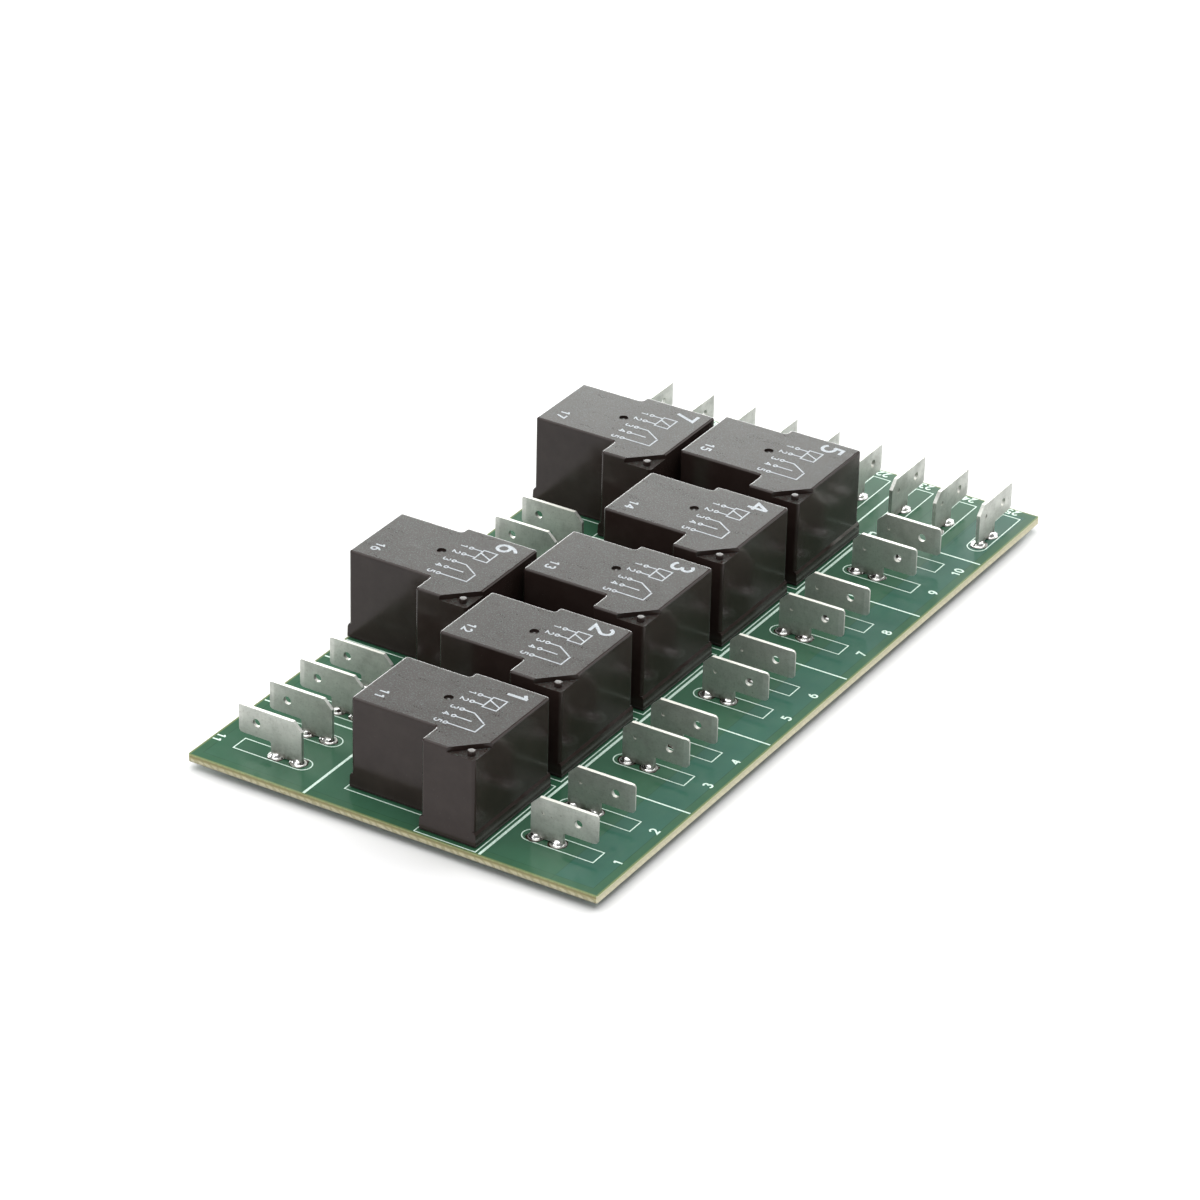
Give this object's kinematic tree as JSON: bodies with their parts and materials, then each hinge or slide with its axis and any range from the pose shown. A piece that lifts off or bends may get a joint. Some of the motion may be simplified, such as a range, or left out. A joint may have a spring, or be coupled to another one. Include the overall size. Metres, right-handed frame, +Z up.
{
  "type": "relay module board",
  "caption": "Long circuit board with sealed power relays and flat blade terminals along its edges, for switching mains loads.",
  "frame": {"origin": "middle of the board's plan, at the height of the relay pins' tips that the board stands on", "axes": "+Z up out of the component side, +Y along the board's long side from the near edge to the edge with the row of nine blades, +X to the side with ten blades"},
  "size_m": [0.0962, 0.1848, 0.0243],
  "materials": {
    "solder_mask": "green solder mask over glass epoxy, pale laminate at the edges",
    "housing_plastic": "black moulded plastic, satin with a fine grain",
    "tinned_pin": "tinned copper alloy",
    "tin_plate": "tin-plated brass, dull with rolled marks",
    "solder": "bright solder",
    "silkscreen": "pale printed ink",
    "soft_iron": "plated soft iron",
    "bobbin_plastic": "moulded nylon",
    "copper": "enamelled copper wire and copper alloy strip"
  },
  "bodies": {
    "root": {"circuit_board": "solder_mask", "relay_1_cover": "housing_plastic", "relay_1_base": "housing_plastic", "relay_1_pins": "tinned_pin", "relay_2_cover": "housing_plastic", "relay_2_base": "housing_plastic", "relay_2_pins": "tinned_pin", "relay_3_cover": "housing_plastic", "relay_3_base": "housing_plastic", "relay_3_pins": "tinned_pin", "relay_4_cover": "housing_plastic", "relay_4_base": "housing_plastic", "relay_4_pins": "tinned_pin", "relay_5_cover": "housing_plastic", "relay_5_base": "housing_plastic", "relay_5_pins": "tinned_pin", "relay_6_cover": "housing_plastic", "relay_6_base": "housing_plastic", "relay_6_pins": "tinned_pin", "relay_7_cover": "housing_plastic", "relay_7_base": "housing_plastic", "relay_7_pins": "tinned_pin", "relay_yokes": "soft_iron", "relay_cores": "soft_iron", "relay_armatures": "soft_iron", "relay_bobbins": "bobbin_plastic", "relay_windings": "copper", "relay_contact_springs": "copper", "blade_right_1": "tin_plate", "blade_right_2": "tin_plate", "blade_right_3": "tin_plate", "blade_right_4": "tin_plate", "blade_right_5": "tin_plate", "blade_right_6": "tin_plate", "blade_right_7": "tin_plate", "blade_right_8": "tin_plate", "blade_right_9": "tin_plate", "blade_right_10": "tin_plate", "blade_left_1": "tin_plate", "blade_left_2": "tin_plate", "blade_left_3": "tin_plate", "blade_left_4": "tin_plate", "blade_left_5": "tin_plate", "blade_left_6": "tin_plate", "blade_far_1": "tin_plate", "blade_far_2": "tin_plate", "blade_far_3": "tin_plate", "blade_far_4": "tin_plate", "blade_far_5": "tin_plate", "blade_far_6": "tin_plate", "blade_far_7": "tin_plate", "blade_far_8": "tin_plate", "blade_far_9": "tin_plate"}
  },
  "joints": []
}
